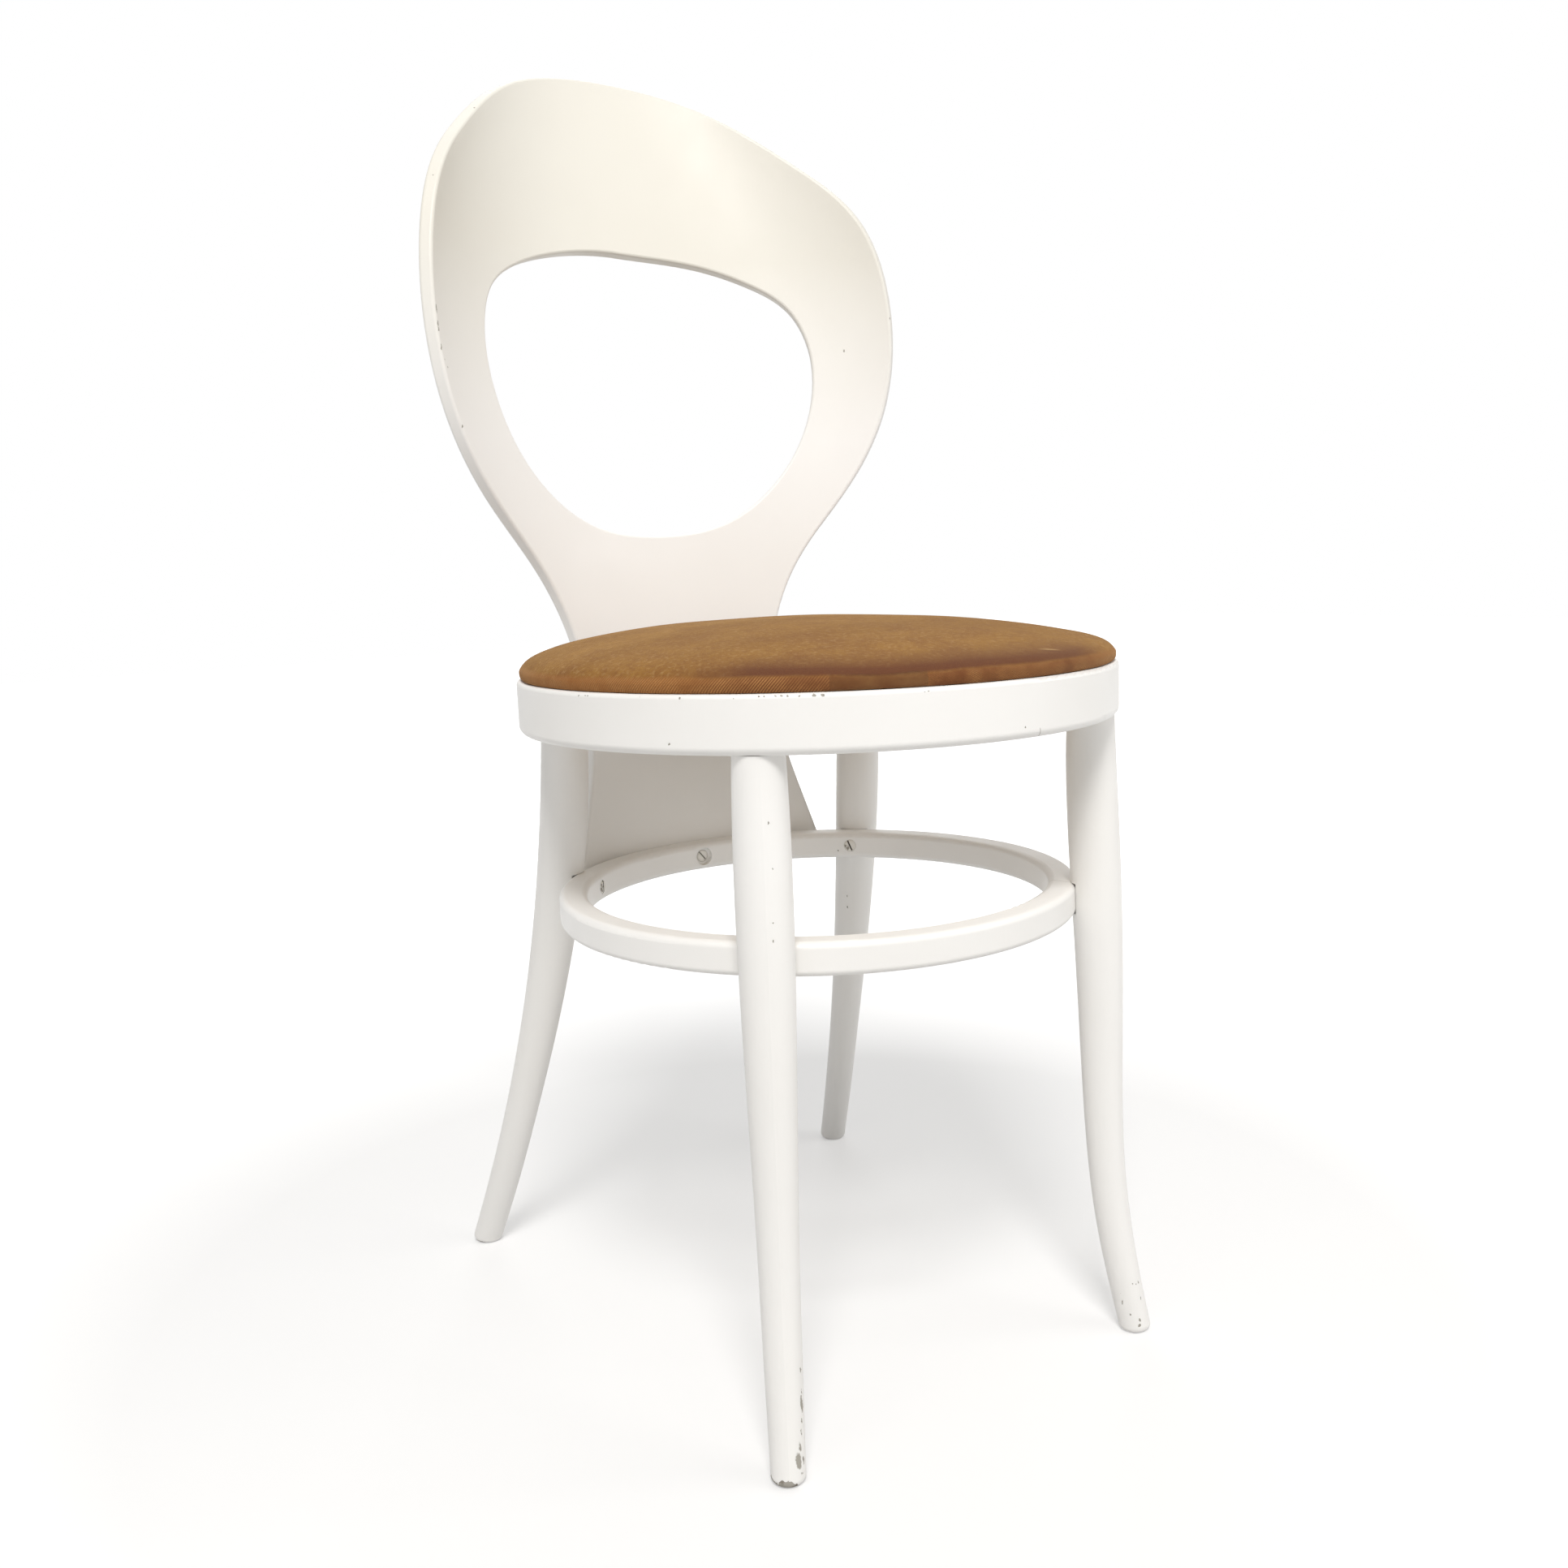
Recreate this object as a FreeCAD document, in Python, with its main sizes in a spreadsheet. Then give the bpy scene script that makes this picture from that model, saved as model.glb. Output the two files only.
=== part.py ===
import FreeCAD, Part
import math
import os
import re
import Sketcher
from FreeCAD import Base, Placement, Rotation, Vector

os.makedirs("parts", exist_ok=True)
doc = FreeCAD.newDocument("bistro_chair")

# Driving sizes in millimetres, heights from the floor, places from the middle of the seat ring
SIZES = {
    # seat ring, one bent length of solid beech
    "ring_radius": 192.0,
    "ring_width": 37.0,
    "ring_low": 408.0,
    "ring_height": 33.0,
    "ring_low_arris": 5.0,
    "ring_arris": 2.5,
    # lower hoop that braces the legs
    "hoop_radius": 170.7,
    "hoop_width": 18.3,
    "hoop_low": 280.0,
    "hoop_height": 20.0,
    "hoop_arris": 4.0,
    "hoop_back_shift": 7.4,
    # leg tops under the ring, and the direction in which each pair splays
    "front_leg_x": 123.0,
    "front_leg_y": 124.0,
    "front_splay_angle": 29.4,
    "rear_leg_x": 123.0,
    "rear_leg_y": 127.0,
    "rear_splay_angle": 19.5,
    # heights at which a leg is measured, below the ring and the hoop
    "knee_height": 200.0,
    "shin_height": 110.0,
    "ankle_height": 40.0,
    # how far the bent leg has drifted outwards at each height
    "front_hoop_drift": 3.4,
    "front_knee_drift": 6.0,
    "front_shin_drift": 9.6,
    "front_ankle_drift": 19.8,
    "front_floor_drift": 28.5,
    "rear_hoop_drift": 14.6,
    "rear_knee_drift": 38.8,
    "rear_shin_drift": 71.1,
    "rear_ankle_drift": 100.5,
    "rear_floor_drift": 118.8,
    # leg thickness at each height, swelling at the hoop
    "front_top_diameter": 29.3,
    "front_hoop_diameter": 31.6,
    "front_knee_diameter": 27.4,
    "front_shin_diameter": 23.4,
    "front_ankle_diameter": 21.3,
    "front_floor_diameter": 20.2,
    "rear_top_diameter": 30.7,
    "rear_hoop_diameter": 31.8,
    "rear_knee_diameter": 27.2,
    "rear_shin_diameter": 23.2,
    "rear_ankle_diameter": 21.8,
    "rear_floor_diameter": 21.2,
    "foot_arris": 4.0,
    "toe_length": 10.0,
    "tenon_diameter": 18.0,
    "tenon_length": 20.0,
    "glue_gap": 0.1,
    # back shell, moulded plywood bent both ways, the bend gathering fast towards the crest
    "shell_thickness": 9.5,
    "shell_arris": 2.0,
    "shell_hoop_let_in": 4.0,
    "shell_ring_let_in": 2.7,
    "shell_profile_radius": 3190.0,
    "shell_bend_low": 271.0,
    "shell_bend_high": 135.0,
    "shell_bend_gather": 6.0,
    "crest_height": 877.5,
    # outline of the shell, half widths along its face at each height
    "brow_half": 84.5,
    "brow_height": 857.5,
    "shoulder_half": 151.5,
    "shoulder_height": 812.0,
    "upper_wing_half": 198.0,
    "upper_wing_height": 759.5,
    "wing_half": 208.0,
    "wing_height": 695.0,
    "lower_wing_half": 193.0,
    "lower_wing_height": 623.0,
    "cheek_half": 148.0,
    "cheek_height": 553.5,
    "hip_half": 109.0,
    "hip_height": 506.5,
    "throat_half": 85.5,
    "throat_height": 455.0,
    "neck_half": 79.5,
    "neck_height": 405.0,
    "tail_half": 92.5,
    "tail_height": 335.0,
    "tail_end_half": 108.0,
    # opening in the shell, half widths at each height
    "opening_top": 744.0,
    "opening_brow_half": 59.0,
    "opening_brow_height": 738.0,
    "opening_shoulder_half": 104.0,
    "opening_shoulder_height": 722.0,
    "opening_corner_half": 132.0,
    "opening_corner_height": 699.0,
    "opening_wide_half": 141.0,
    "opening_wide_height": 672.0,
    "opening_side_half": 132.5,
    "opening_side_height": 618.0,
    "opening_cheek_half": 98.5,
    "opening_cheek_height": 568.0,
    "opening_bowl_half": 56.0,
    "opening_bowl_height": 540.0,
    "opening_low": 531.5,
    # seat pad, a board under foam in a velvet cover
    "pad_radius": 190.3,
    "pad_crown": 26.0,
    "pad_low_arris": 3.0,
    "board_thickness": 5.0,
    "board_skin": 1.2,
    "cover_thickness": 1.2,
    "cover_turn_radius": 145.0,
    "soft_gap": 0.2,
    # staples that hold the cover under the board
    "staple_count": 20,
    "staple_radius": 150.0,
    "staple_width": 10.0,
    "staple_wire": 0.9,
    # slotted wood screws
    "screw_head_radius": 4.7,
    "screw_head_depth": 2.8,
    "screw_dome": 0.7,
    "screw_dome_radius": 3.4,
    "screw_shank_radius": 2.1,
    "screw_slot": 1.1,
    "screw_slot_depth": 0.8,
    "screw_gap": 0.1,
    "hole_lead": 1.5,
    "recess_radius": 6.8,
    "leg_screw_length": 34.0,
    "hoop_recess_depth": 3.0,
    "ring_recess_depth": 18.0,
    "ring_screw_angle": 12.0,
    "seat_recess_depth": 16.0,
    "shell_screw_bite": 6.5,
    # how far from level each slot was left, as seen from inside the ring or from below
    "front_left_slot_turn": 25.0,
    "front_right_slot_turn": 130.0,
    "rear_left_slot_turn": 90.0,
    "rear_right_slot_turn": 67.0,
    "shell_slot_turn": 50.0,
    "ring_left_slot_turn": 15.0,
    "ring_right_slot_turn": 105.0,
    "seat_slot_turn": 40.0,
}

sheet = doc.addObject("Spreadsheet::Sheet", "sizes")
for row, (alias, number) in enumerate(SIZES.items(), start=1):
    sheet.set(f"A{row}", alias)
    sheet.set(f"B{row}", str(number))
    sheet.setAlias(f"B{row}", alias)
doc.recompute()


def formula(text):
    """Write a sum of named sizes the way the sheet is asked for them."""
    def asked(word):
        return f"sizes.{word.group()}" if word.group() in SIZES else word.group()
    return re.sub(r"[a-z_]+", asked, text)


def size(text):
    """Work out a sum of named sizes as a plain number."""
    return float(sheet.evalExpression(formula(text)))


def bind(thing, where, text):
    thing.setExpression(where, formula(text))


def profile_slope():
    """Lean of the shell's face at the hoop, set by where the ring and the hoop carry it."""
    rise = size("ring_low + ring_height / 2 - hoop_low - hoop_height / 2")
    run = size("ring_radius - shell_ring_let_in - hoop_back_shift - hoop_radius + shell_hoop_let_in")
    return run / rise - rise / size("2 * shell_profile_radius")


def shell_point(along, height, ahead=0.0):
    """A point on the shell's front face, from the distance along its bend and the height."""
    rise = height - size("hoop_low + hoop_height / 2")
    share = max(rise / size("crest_height - hoop_low - hoop_height / 2"), 0)
    gathered = share ** size("shell_bend_gather") * size("1 / shell_bend_high - 1 / shell_bend_low")
    bend = 1 / (size("1 / shell_bend_low") + gathered)
    face = size("hoop_back_shift + hoop_radius - shell_hoop_let_in") - ahead
    face += profile_slope() * rise + rise**2 / size("2 * shell_profile_radius")
    turn = along / bend
    return Vector(bend * math.sin(turn), face - bend + bend * math.cos(turn), height)


# The row's origin stands on the floor under the middle of the whole chair
crest = shell_point(0.0, size("crest_height"))
crest_rise = size("crest_height - hoop_low - hoop_height / 2")
crest_lean = math.atan(profile_slope() + crest_rise / size("shell_profile_radius"))
rear_reach = crest.y + size("shell_thickness") * math.cos(crest_lean)
SEAT_Y = (size("ring_radius") - rear_reach) / 2


def place(thing, x, y, z, rotation=None):
    """Set a thing down at a place measured from the middle of the seat ring."""
    thing.Placement = Placement(Vector(x, y + SEAT_Y, z), rotation or Rotation())


def new_body(name):
    body = doc.addObject("PartDesign::Body", name)
    body.AllowCompound = True
    return body


def sketch_on(body, role, name):
    sketch = body.newObject("Sketcher::SketchObject", name)
    planes = [feature for feature in body.Origin.OriginFeatures if feature.Role == role]
    sketch.AttachmentSupport = [(planes[0], "")]
    sketch.MapMode = "FlatFace"
    return sketch


def add_circle(sketch, radius, x="0", y="0"):
    """Draw a circle whose radius and centre follow the named sizes."""
    centre = Vector(size(x), size(y), 0)
    circle = sketch.addGeometry(Part.Circle(centre, Vector(0, 0, 1), size(radius)))
    rule = sketch.addConstraint(Sketcher.Constraint("Radius", circle, size(radius)))
    bind(sketch, f"Constraints[{rule}]", radius)
    for kind, text in (("DistanceX", x), ("DistanceY", y)):
        rule = sketch.addConstraint(Sketcher.Constraint(kind, -1, 1, circle, 3, size(text)))
        bind(sketch, f"Constraints[{rule}]", text)


def add_rectangle(sketch, left, right, low, high):
    """Draw a rectangle whose four sides follow the named sizes."""
    places = [(left, low), (right, low), (right, high), (left, high)]
    corners = [Vector(size(x), size(y), 0) for x, y in places]
    sides = [sketch.addGeometry(Part.LineSegment(corners[i], corners[(i + 1) % 4])) for i in range(4)]
    for i, direction in enumerate(("Horizontal", "Vertical", "Horizontal", "Vertical")):
        sketch.addConstraint(Sketcher.Constraint("Coincident", sides[i], 2, sides[(i + 1) % 4], 1))
        sketch.addConstraint(Sketcher.Constraint(direction, sides[i]))
    reaches = [("DistanceX", 0, left), ("DistanceX", 2, right), ("DistanceY", 0, low), ("DistanceY", 2, high)]
    for kind, side, text in reaches:
        rule = sketch.addConstraint(Sketcher.Constraint(kind, -1, 1, sides[side], 1, size(text)))
        bind(sketch, f"Constraints[{rule}]", text)


def edge_names(shape, test):
    return [f"Edge{i}" for i, edge in enumerate(shape.Edges, start=1) if test(edge)]


def round_edges(body, name, radius, test):
    """Round the edges of the body's last feature that pass a test."""
    doc.recompute()
    base = body.Tip
    rounding = body.newObject("PartDesign::Fillet", name)
    rounding.Base = (base, edge_names(base.Shape, test))
    bind(rounding, "Radius", radius)
    return rounding


def is_level(edge, height):
    """Whether an edge lies flat at a height, to a hundredth of a millimetre."""
    nearness = 0.01
    return max(abs(edge.BoundBox.ZMin - height), abs(edge.BoundBox.ZMax - height)) < nearness


def bent_ring(name, radius, width, low, height):
    """A ring of rectangular section, as bent from one straight batten."""
    body = new_body(name)
    section = sketch_on(body, "XZ_Plane", f"{name}_section")
    add_rectangle(section, f"{radius} - {width}", radius, low, f"{low} + {height}")
    turned = body.newObject("PartDesign::Revolution", f"{name}_bend")
    turned.Profile = section
    turned.ReferenceAxis = (section, ["V_Axis"])
    turned.Angle = 360
    return body


def group(name, things):
    together = doc.addObject("Part::Compound", name)
    together.Links = things
    return together


def cut(name, base, tools):
    """Take a group of tools that don't meet each other away from a base in one step."""
    step = doc.addObject("Part::Cut", name)
    step.Base = base
    step.Tool = tools[0] if len(tools) == 1 else group(f"{name}_tools", tools)
    return step


def cylinder(name, radius, length, x, y, z, rotation=None):
    tool = doc.addObject("Part::Cylinder", name)
    bind(tool, "Radius", radius)
    bind(tool, "Height", length)
    place(tool, x, y, z, rotation)
    return tool


def cone(name, radius_start, radius_end, length, x, y, z, rotation):
    tool = doc.addObject("Part::Cone", name)
    bind(tool, "Radius1", radius_start)
    bind(tool, "Radius2", radius_end)
    bind(tool, "Height", length)
    place(tool, x, y, z, rotation)
    return tool


def outward(angle):
    """Rotation that turns the vertical into a level direction, angle measured from +X."""
    return Rotation(Vector(0, 0, 1), angle).multiply(Rotation(Vector(0, 1, 0), 90))


def wood_screw(name, start, rotation, length, slot_turn):
    """A slotted wood screw with a raised countersunk head, its rim at the start point."""
    ahead = rotation.multVec(Vector(0, 0, 1))
    throat = start + ahead * size("screw_head_depth")
    crown = start - ahead * size("screw_dome")
    parts = [
        cone(f"{name}_sink", "screw_head_radius", "screw_shank_radius", "screw_head_depth", *start, rotation),
        cone(f"{name}_dome", "screw_dome_radius", "screw_head_radius", "screw_dome", *crown, rotation),
        cylinder(f"{name}_shank", "screw_shank_radius", f"{length} - screw_head_depth", *throat, rotation),
    ]
    blank = doc.addObject("Part::MultiFuse", f"{name}_blank")
    blank.Shapes = parts
    slot = doc.addObject("Part::Box", f"{name}_slot")
    bind(slot, "Length", "screw_slot")
    bind(slot, "Width", "2 * (screw_head_radius + screw_gap)")
    bind(slot, "Height", "screw_gap + screw_dome + screw_slot_depth")
    turned = rotation.multiply(Rotation(Vector(0, 0, 1), size(slot_turn)))
    corner = -Vector(size("screw_slot / 2"), size("screw_head_radius + screw_gap"),
                     size("screw_gap + screw_dome"))
    place(slot, *(start + turned.multVec(corner)), turned)
    return cut(name, blank, [slot])


def screw_hole(name, start, rotation, length, rim, recess):
    """The hole that a screw fills, with its recess, as one tool."""
    ahead = rotation.multVec(Vector(0, 0, 1))
    mouth = start - ahead * size(recess)
    throat = start + ahead * size("screw_head_depth")
    hole = doc.addObject("Part::MultiFuse", name)
    hole.Shapes = [
        cylinder(f"{name}_recess", rim, recess, *mouth, rotation),
        cone(f"{name}_sink", "screw_head_radius + screw_gap", "screw_shank_radius + screw_gap",
             "screw_head_depth", *start, rotation),
        cylinder(f"{name}_shank", "screw_shank_radius + screw_gap",
                 f"{length} - screw_head_depth + screw_gap", *throat, rotation),
    ]
    return hole


# Back shell: a face moulded on two bends, thickened behind, with its edges rounded
def moulded_face(half, low, high, ahead=0.0):
    """The shell's front face as one smooth surface, wider than what is cut from it."""
    along_steps, height_steps = 14, 12
    grid = []
    for i in range(along_steps + 1):
        along = half * (2 * i / along_steps - 1)
        heights = [low + (high - low) * j / height_steps for j in range(height_steps + 1)]
        grid.append([shell_point(along, height, ahead) for height in heights])
    face = Part.BSplineSurface()
    face.interpolate(grid)
    return face


def on_face(face, along, height):
    u, v = face.parameter(shell_point(along, height))
    return Base.Vector2d(u, v)


def both_sides(face, names):
    """The points named for one side of an outline, from the top down, and their mirror images back up."""
    heights = {"tail_end": "hoop_low"}
    side = [(size(f"{name}_half"), size(heights.get(name, f"{name}_height"))) for name in names]
    right = [on_face(face, half, height) for half, height in side]
    left = [on_face(face, -half, height) for half, height in reversed(side)]
    return right, left


blank_margin = 25.0
blank = moulded_face(size("wing_half") + blank_margin, size("hoop_low") - blank_margin,
                     size("crest_height") + blank_margin)
right_side, left_side = both_sides(blank, ["brow", "shoulder", "upper_wing", "wing", "lower_wing",
                                           "cheek", "hip", "throat", "neck", "tail", "tail_end"])
outline = Part.Geom2d.BSplineCurve2d()
outline.interpolate(left_side + [on_face(blank, 0, size("crest_height"))] + right_side)
tail_edge = Part.Geom2d.Line2dSegment(right_side[-1], left_side[0])
outer_wire = Part.Wire([outline.toShape(blank), tail_edge.toShape(blank)])

right_side, left_side = both_sides(blank, ["opening_brow", "opening_shoulder", "opening_corner",
                                           "opening_wide", "opening_side", "opening_cheek", "opening_bowl"])
opening = Part.Geom2d.BSplineCurve2d()
opening.interpolate([on_face(blank, 0, size("opening_top"))] + right_side
                    + [on_face(blank, 0, size("opening_low"))] + left_side, True)
opening_wire = Part.Wire([opening.toShape(blank)])

regions, _ = blank.toShape().generalFuse([outer_wire, opening_wire])
top_band = Part.Vertex(shell_point(0, size("crest_height + opening_top") / 2))
shell_face = doc.addObject("Part::Feature", "shell_face")
shell_face.Shape = min(regions.Faces, key=lambda face: face.distToShape(top_band)[0])
place(shell_face, 0, 0, 0)

shell_plies = doc.addObject("Part::Offset", "shell_plies")
shell_plies.Source = shell_face
bind(shell_plies, "Value", "-shell_thickness")
shell_plies.Fill = True
doc.recompute()

shell_rounded = doc.addObject("Part::Fillet", "shell_rounded")
shell_rounded.Base = shell_plies
arris = size("shell_arris")
shell_rounded.Edges = [(i, arris, arris) for i in range(1, len(shell_plies.Shape.Edges) + 1)]

# The seat cut for the shell in the ring and the hoop, a thick slab of the same moulded face
seat_face = doc.addObject("Part::Feature", "shell_seat_face")
seat_face.Shape = moulded_face(size("neck_half"), size("hoop_low") - blank_margin,
                               size("ring_low + ring_height") + blank_margin, size("glue_gap")).toShape()
place(seat_face, 0, 0, 0)
shell_seat = doc.addObject("Part::Offset", "shell_seat")
shell_seat.Source = seat_face
bind(shell_seat, "Value", "-shell_thickness * 2")
shell_seat.Fill = True

# Screws that hold the shell: one through the back of the hoop, two through the ring
back = outward(90)
hoop_screw_start = Vector(0, size("hoop_back_shift + hoop_radius - hoop_width + hoop_recess_depth"),
                          size("hoop_low + hoop_height / 2"))
hoop_screw_length = "hoop_width - hoop_recess_depth - shell_hoop_let_in + shell_screw_bite"
ring_screw_length = "ring_width - ring_recess_depth - shell_ring_let_in + shell_screw_bite"
ring_screws = []
for side, turn in (("left", 1), ("right", -1)):
    rotation = outward(90 + turn * size("ring_screw_angle"))
    rim = rotation.multVec(Vector(0, 0, 1)) * size("ring_radius - ring_width + ring_recess_depth")
    ring_screws.append((side, rim + Vector(0, 0, size("ring_low + ring_height / 2")), rotation))

hoop_shell_hole = screw_hole("hoop_shell_hole", hoop_screw_start, back, hoop_screw_length,
                             "recess_radius", "hoop_recess_depth + hole_lead")
hoop_shell_screw = wood_screw("hoop_shell_screw", hoop_screw_start, back, hoop_screw_length,
                              "shell_slot_turn")
ring_shell_holes = [screw_hole(f"ring_shell_hole_{side}", start, rotation, ring_screw_length,
                               "recess_radius", "ring_recess_depth + hole_lead")
                    for side, start, rotation in ring_screws]
ring_shell_screws = group("ring_shell_screws", [
    wood_screw(f"ring_shell_screw_{side}", start, rotation, ring_screw_length, f"ring_{side}_slot_turn")
    for side, start, rotation in ring_screws])
back_shell = cut("back_shell", shell_rounded, [hoop_shell_hole] + ring_shell_holes)

# Seat ring: bent solid section with blind sockets for the leg tenons and screws up into the board
ring = bent_ring("ring_bend", "ring_radius", "ring_width", "ring_low", "ring_height")
place(ring, 0, 0, 0)
round_edges(ring, "ring_low_rounding", "ring_low_arris", lambda edge: is_level(edge, size("ring_low")))
round_edges(ring, "ring_top_rounding", "ring_arris",
            lambda edge: is_level(edge, size("ring_low + ring_height")))
doc.recompute()
sockets = sketch_on(ring, "XY_Plane", "leg_sockets")
bind(sockets, "AttachmentOffset.Base.z", "ring_low")
for legs in ("front", "rear"):
    for side in ("", "-"):
        add_circle(sockets, "tenon_diameter / 2 + glue_gap", f"{side}{legs}_leg_x",
                   f"{'-' if legs == 'front' else ''}{legs}_leg_y")
socket_cut = ring.newObject("PartDesign::Pocket", "leg_socket_cut")
socket_cut.Profile = sockets
socket_cut.Reversed = True
bind(socket_cut, "Length", "tenon_length + glue_gap")

seat_screw_holes = []
seat_screws = []
seat_screw_length = "ring_height - seat_recess_depth + cover_thickness + board_thickness - board_skin"
for i in range(4):
    spoke = Rotation(Vector(0, 0, 1), 90 * i).multVec(Vector(size("ring_radius - ring_width / 2"), 0, 0))
    start = spoke + Vector(0, 0, size("ring_low + seat_recess_depth"))
    seat_screw_holes.append(screw_hole(f"seat_hole_{i + 1}", start, Rotation(), seat_screw_length,
                                       "recess_radius", "seat_recess_depth + hole_lead"))
    seat_screws.append(wood_screw(f"seat_screw_{i + 1}", start, Rotation(), seat_screw_length,
                                  f"{i} * seat_slot_turn"))
seat_ring = cut("seat_ring", ring, [shell_seat] + ring_shell_holes + seat_screw_holes)
seat_screw_group = group("seat_screws", seat_screws)

# Lower hoop: thinner bent ring, set back a little, screwed to each leg from inside
hoop = bent_ring("hoop_bend", "hoop_radius", "hoop_width", "hoop_low", "hoop_height")
place(hoop, 0, size("hoop_back_shift"), 0)
round_edges(hoop, "hoop_rounding", "hoop_arris",
            lambda edge: is_level(edge, size("hoop_low")) or is_level(edge, size("hoop_low + hoop_height")))

# Legs: steam bent in one plane, turned to a taper with a swell at the hoop and a tenon on top
leg_levels = {
    "top": "ring_low",
    "hoop": "hoop_low + hoop_height / 2",
    "knee": "knee_height",
    "shin": "shin_height",
    "ankle": "ankle_height",
    "floor": "0",
}


def leg_stations(legs):
    """Drift, height, tilt and radius of each measured level of a leg, as sums of named sizes."""
    names = list(leg_levels)
    drifts = ["0"] + [f"{legs}_{name}_drift" for name in names[1:]]
    stations = []
    for i, name in enumerate(names):
        above, below = max(i - 1, 0), min(i + 1, len(names) - 1)
        run = f"({drifts[below]} - ({drifts[above]}))"
        fall = f"({leg_levels[names[above]]} - ({leg_levels[names[below]]}))"
        tilt = "0" if name == "top" else f"atan({run} / {fall})"
        stations.append((name, drifts[i], leg_levels[name], tilt, f"{legs}_{name}_diameter / 2"))
    name, drift, height, tilt, radius = stations[-1]
    stations.append(("toe", f"{drift} + toe_length * tan({tilt})", "-toe_length", tilt, radius))
    return stations


def bent_leg(name, legs, x, y, angle):
    """One bent and tapered leg, let into the hoop and cut level at the floor."""
    body = new_body(f"{name}_bend")
    place(body, x, y, 0, Rotation(Vector(0, 0, 1), angle))
    sections = []
    for level, drift, height, tilt, radius in leg_stations(legs):
        section = sketch_on(body, "XY_Plane", f"{name}_{level}")
        section.AttachmentOffset = Placement(Vector(), Rotation(Vector(0, -1, 0), 1))
        bind(section, "AttachmentOffset.Base.x", drift)
        bind(section, "AttachmentOffset.Base.z", height)
        bind(section, "AttachmentOffset.Rotation.Angle", tilt)
        add_circle(section, radius)
        sections.append(section)
    loft = body.newObject("PartDesign::AdditiveLoft", f"{name}_taper")
    loft.Profile = sections[0]
    loft.Sections = sections[1:]
    tenon_section = sketch_on(body, "XY_Plane", f"{name}_tenon_section")
    bind(tenon_section, "AttachmentOffset.Base.z", "ring_low")
    add_circle(tenon_section, "tenon_diameter / 2")
    tenon = body.newObject("PartDesign::Pad", f"{name}_tenon")
    tenon.Profile = tenon_section
    bind(tenon, "Length", "tenon_length")
    doc.recompute()
    floor_section = sketch_on(body, "XY_Plane", f"{name}_floor_section")
    add_circle(floor_section, f"{legs}_floor_drift + {legs}_hoop_diameter")
    floor_cut = body.newObject("PartDesign::Pocket", f"{name}_floor_cut")
    floor_cut.Profile = floor_section
    bind(floor_cut, "Length", "2 * toe_length")
    round_edges(body, f"{name}_foot_rounding", "foot_arris", lambda edge: is_level(edge, 0))
    return body


hoop_seat = cylinder("hoop_seat", "hoop_radius + glue_gap", "hoop_height + 2 * glue_gap", 0,
                     size("hoop_back_shift"), size("hoop_low - glue_gap"))
legs_made = []
leg_holes = []
leg_screws = []
for legs, end in (("front", -1), ("rear", 1)):
    for side, hand in (("left", -1), ("right", 1)):
        name = f"{legs}_leg_{side}"
        x, y = hand * size(f"{legs}_leg_x"), end * size(f"{legs}_leg_y")
        angle = end * (90 - hand * size(f"{legs}_splay_angle"))
        leg = bent_leg(name, legs, x, y, angle)
        drift = Rotation(Vector(0, 0, 1), angle).multVec(Vector(size(f"{legs}_hoop_drift"), 0, 0))
        spoke = math.degrees(math.atan2(y + drift.y - size("hoop_back_shift"), x + drift.x))
        rotation = outward(spoke)
        start = rotation.multVec(Vector(0, 0, 1)) * size("hoop_radius - hoop_width")
        start += Vector(0, size("hoop_back_shift"), size("hoop_low + hoop_height / 2"))
        hole = screw_hole(f"{name}_hole", start, rotation, "leg_screw_length",
                          "screw_head_radius + screw_gap", "hole_lead")
        leg_holes.append(hole)
        leg_screws.append(wood_screw(f"{name}_screw", start, rotation, "leg_screw_length",
                                     f"{legs}_{side}_slot_turn"))
        legs_made.append(cut(name, leg, [hoop_seat, hole]))
hoop_leg_screws = group("hoop_leg_screws", leg_screws)
stretcher_hoop = cut("stretcher_hoop", hoop, [shell_seat, hoop_shell_hole] + leg_holes)


# Seat pad: plywood board, domed foam and a velvet cover turned under and stapled
def dome(name, side_low, reduced):
    """A low half ellipsoid on a short cylinder, the pad's outer form or one reduced inside it."""
    side_height = f"cover_thickness + board_thickness - ({side_low})"
    drum = cylinder(f"{name}_side", f"pad_radius - ({reduced})", side_height, 0, 0,
                    size(f"ring_low + ring_height + {side_low}"))
    top = doc.addObject("Part::Ellipsoid", f"{name}_top")
    bind(top, "Radius1", f"pad_crown - ({reduced})")
    bind(top, "Radius2", f"pad_radius - ({reduced})")
    bind(top, "Radius3", f"pad_radius - ({reduced})")
    top.Angle1 = 0
    top.Angle2 = 90
    place(top, 0, 0, size("ring_low + ring_height + cover_thickness + board_thickness"))
    whole = doc.addObject("Part::MultiFuse", name)
    whole.Shapes = [drum, top]
    whole.Refine = True
    return whole


staples = new_body("cover_staples")
place(staples, 0, 0, 0)
half_staple = "staple_width / 2"
staple_low = "ring_low + ring_height - staple_wire"
staple_high = "ring_low + ring_height + cover_thickness + board_thickness - board_skin"
staple_outer = sketch_on(staples, "YZ_Plane", "staple_outer")
bind(staple_outer, "AttachmentOffset.Base.z", "staple_radius")
add_rectangle(staple_outer, f"-{half_staple}", half_staple, staple_low, staple_high)
staple_pad = staples.newObject("PartDesign::Pad", "staple_pad")
staple_pad.Profile = staple_outer
bind(staple_pad, "Length", "staple_wire")
staple_inner = sketch_on(staples, "YZ_Plane", "staple_inner")
bind(staple_inner, "AttachmentOffset.Base.z", "staple_radius")
add_rectangle(staple_inner, f"-{half_staple} + staple_wire", f"{half_staple} - staple_wire",
              f"{staple_low} + staple_wire", f"{staple_high} + staple_wire")
staple_bite = staples.newObject("PartDesign::Pocket", "staple_bite")
staple_bite.Profile = staple_inner
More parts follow.
